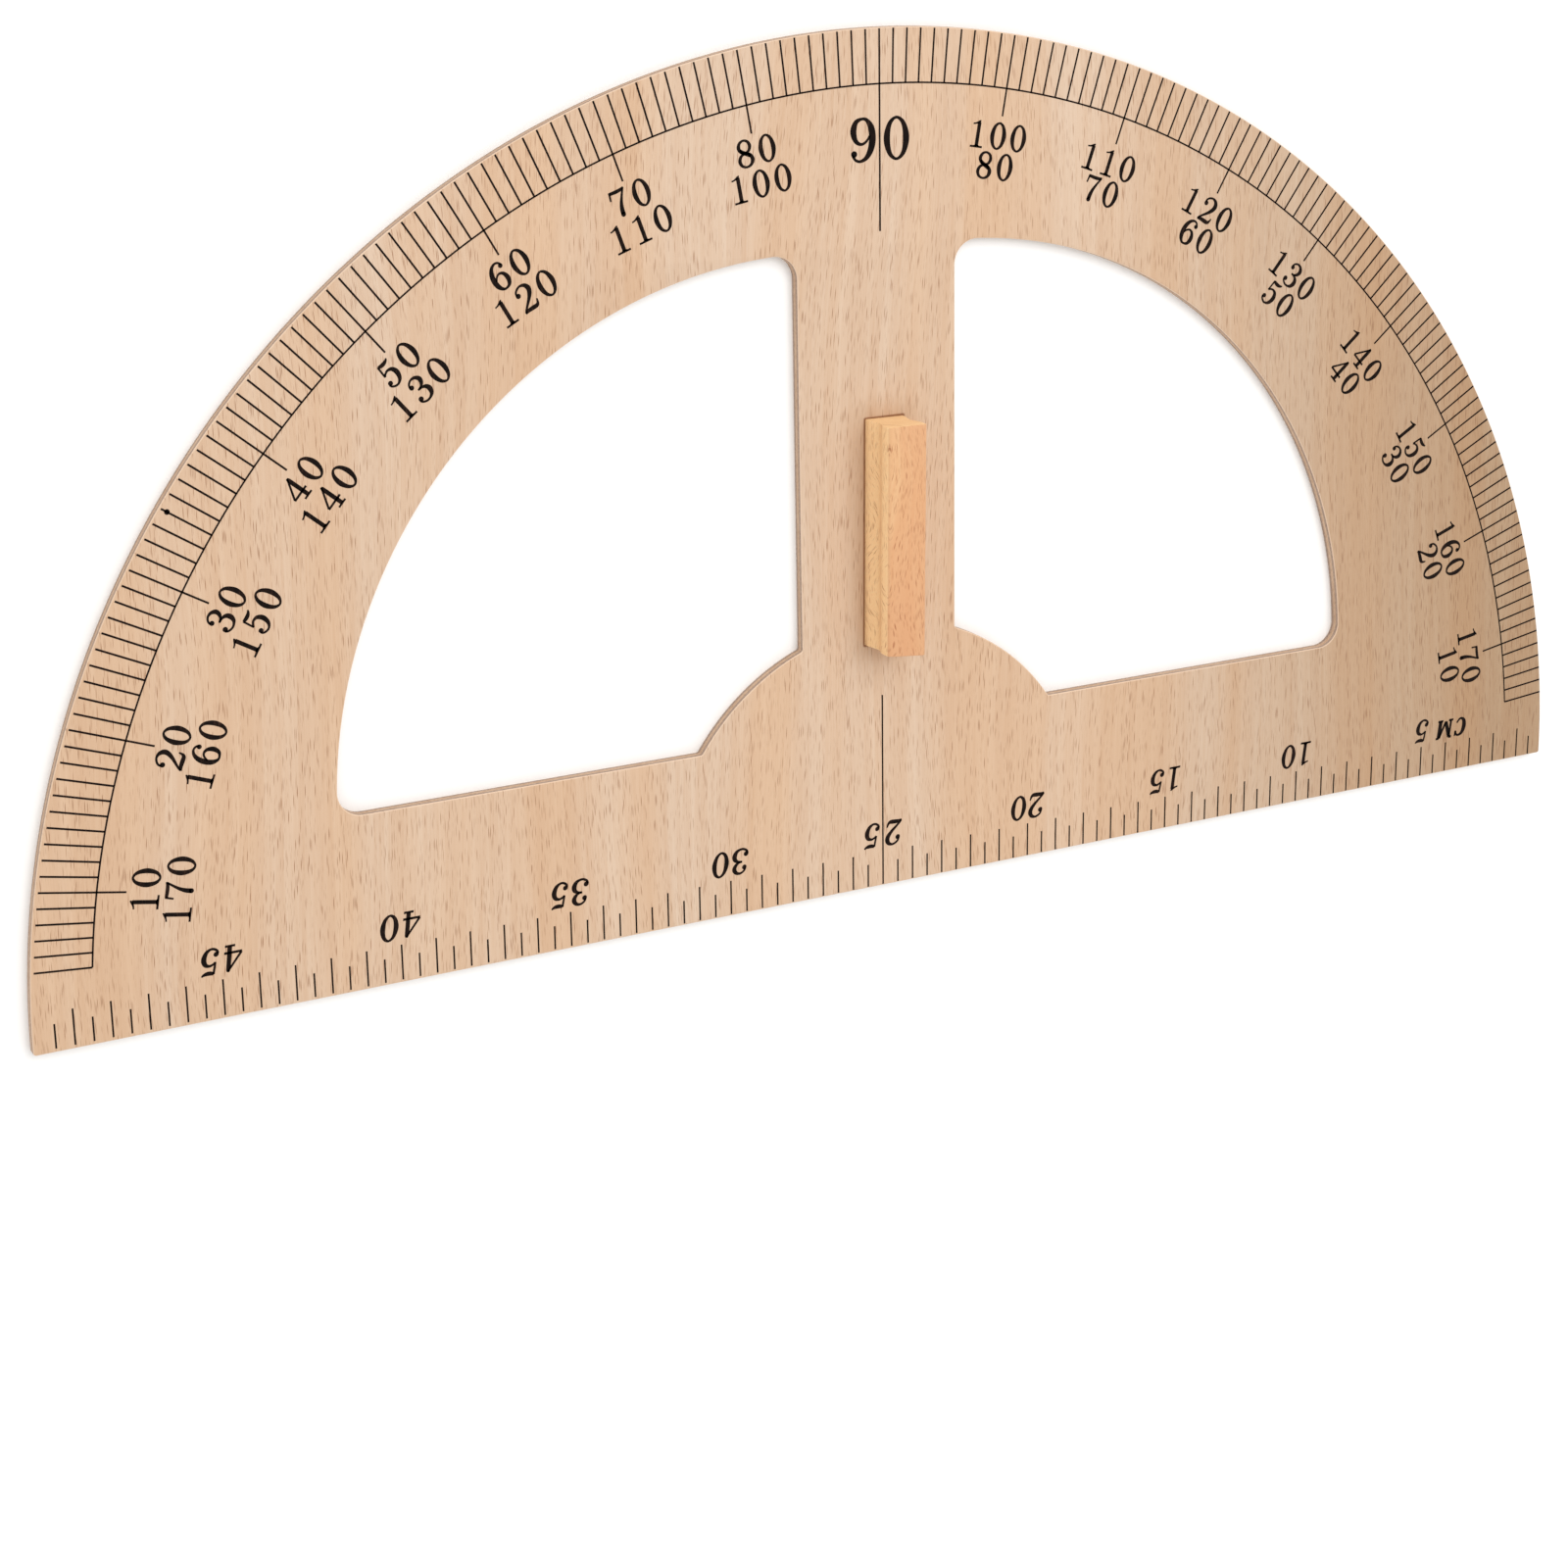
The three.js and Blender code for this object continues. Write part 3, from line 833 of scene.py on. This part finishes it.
sheets = (
    ("back_sheet", "back_ply", "beech_face", face_beech, eased(0, PLY, True, False)),
    ("core_sheet", "core_ply", "beech_core", core_beech, eased(PLY, 2 * PLY, False, False)),
    ("front_sheet", "front_ply", "beech_face", face_beech, eased(2 * PLY, 3 * PLY, False, True)),
)
for name, node_name, slot_name, material, levels in sheets:
    sheet = ply(name, levels)
    sheet.data.materials.append(material)
    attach(sheet, ROOT)
    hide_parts(node_name)

grip = build_grip()
grip.data.materials.append(grip_beech)
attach(grip, ROOT)
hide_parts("grip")

zinc = screw_material()
for name in ("screw_lower", "screw_upper"):
    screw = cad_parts[name]
    screw.data.materials.clear()
    screw.data.materials.append(zinc)

degree_scale(ink)
rule(ink)
numerals(ink)

# ---------------------------------------------------------------- floor, light and camera

FLOOR_HALF = 3.0            # metres
FLOOR_LEVEL = -0.05         # millimetres; just clear of the back face

SURROUND_STRENGTH = 0.935
KEY_PLACE = (0.4, 1.3, 2.2)
KEY_AIM = (0.0, 0.12, 0.0)
KEY_SIZE = 1.8
KEY_POWER = 25.0

CAMERA_EYE = (-0.3802, 0.3100, 0.7031)
CAMERA_LOOK = (0.4306, -0.2692, -0.8615)
CAMERA_RIGHT = (0.8924, -0.0160, 0.4510)
CAMERA_LENS = 65.7
CAMERA_SHIFT = (-0.0006, -0.1156)


def build_floor():
    """A pale, very slightly mottled sheet of card under the protractor."""
    shader = Shader("pale_card")
    tone = shader.noise((6, 6, 6), detail=3.0)
    colour = shader.mix(tone, srgb(247, 246, 244), srgb(250, 250, 249))
    material = shader.finish(colour, shader.span(tone, 0.0, 1.0, 0.75, 0.85),
                             shader.noise((400, 400, 400)), strength=0.02)
    h = FLOOR_HALF / MM
    corners = [(x, y, FLOOR_LEVEL) for x, y in ((-h, -h), (h, -h), (h, h), (-h, h))]
    floor = new_object("floor", corners, [(0, 1, 2, 3)])
    floor.data.materials.append(material)


def area_light(name, place, aim, size, power):
    """A soft square light at place, pointing at aim."""
    data = bpy.data.lights.new(name, "AREA")
    data.size = size
    data.energy = power
    light = bpy.data.objects.new(name, data)
    light.location = place
    light.rotation_euler = (Vector(aim) - Vector(place)).to_track_quat("-Z", "Y").to_euler()
    bpy.context.scene.collection.objects.link(light)


def build_camera():
    """Stands to the upper left of the board and looks down on it, with the 90 degree mark up."""
    eye = Vector(CAMERA_EYE)
    look = Vector(CAMERA_LOOK).normalized()
    right = Vector(CAMERA_RIGHT)
    right = (right - look * right.dot(look)).normalized()
    up = right.cross(look)
    data = bpy.data.cameras.new("camera")
    data.sensor_width = 36.0
    data.lens = CAMERA_LENS
    data.shift_x, data.shift_y = CAMERA_SHIFT
    data.clip_start = 0.01
    data.clip_end = 20.0
    camera = bpy.data.objects.new("camera", data)
    turn = Matrix((right, up, -look)).transposed()
    camera.matrix_world = Matrix.Translation(eye) @ turn.to_4x4()
    bpy.context.scene.collection.objects.link(camera)
    bpy.context.scene.camera = camera


def build_light():
    """A bright even surround with one soft key from the upper right."""
    world = bpy.data.worlds.new("studio")
    world.use_nodes = True
    background = world.node_tree.nodes["Background"]
    background.inputs["Color"].default_value = (1.0, 1.0, 1.0, 1.0)
    background.inputs["Strength"].default_value = SURROUND_STRENGTH
    bpy.context.scene.world = world
    area_light("key", KEY_PLACE, KEY_AIM, KEY_SIZE, KEY_POWER)
    bpy.context.scene.view_settings.view_transform = "Standard"


build_floor()
build_camera()
build_light()
